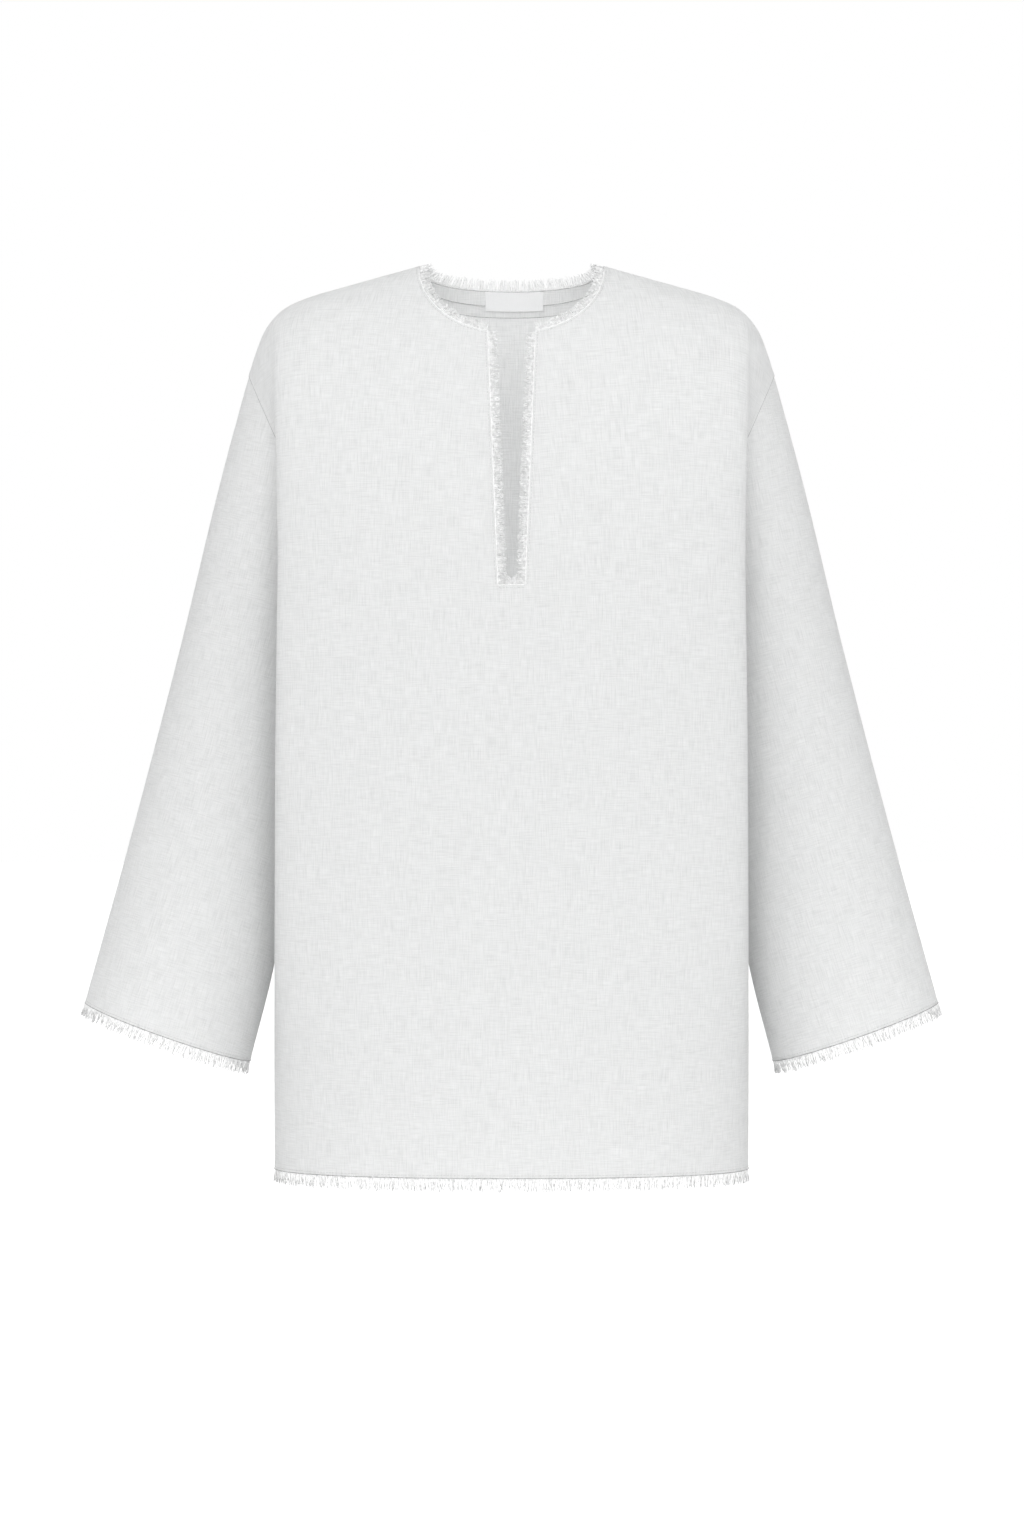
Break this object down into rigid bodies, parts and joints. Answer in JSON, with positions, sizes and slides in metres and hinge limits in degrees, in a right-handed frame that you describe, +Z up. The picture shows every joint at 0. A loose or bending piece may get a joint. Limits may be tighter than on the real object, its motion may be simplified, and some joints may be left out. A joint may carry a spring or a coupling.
{
  "type": "linen tunic shirt",
  "caption": "Collarless linen tunic shirt, filled out as worn: wide long sleeves, dropped shoulders, a narrow centre-front slit and frayed neck, cuffs and hem.",
  "frame": {"origin": "midway between the two neck points, where the shoulder seams reach the neckline and the wearer's shoulders carry the shirt", "axes": "+Z up along the wearer's body, -Y out of the front, +X to the wearer's left"},
  "size_m": [0.7488, 0.2334, 0.7988],
  "materials": {
    "linen": "matt woven linen, off-white",
    "loose_thread": "matt loose linen thread, white",
    "woven_label": "fine woven satin, white, blank"
  },
  "bodies": {
    "root": {"front": "linen", "back": "linen", "sleeve_left": "linen", "sleeve_right": "linen", "neck_tape": "linen", "neck_label": "woven_label", "hem_fringe_front": "loose_thread", "hem_fringe_back": "loose_thread", "cuff_fringe_left": "loose_thread", "cuff_fringe_right": "loose_thread", "neck_fringe_left": "loose_thread", "neck_fringe_right": "loose_thread", "neck_fringe_back": "loose_thread", "slit_fringe_left": "loose_thread", "slit_fringe_right": "loose_thread", "slit_fringe_foot": "loose_thread"}
  },
  "joints": []
}
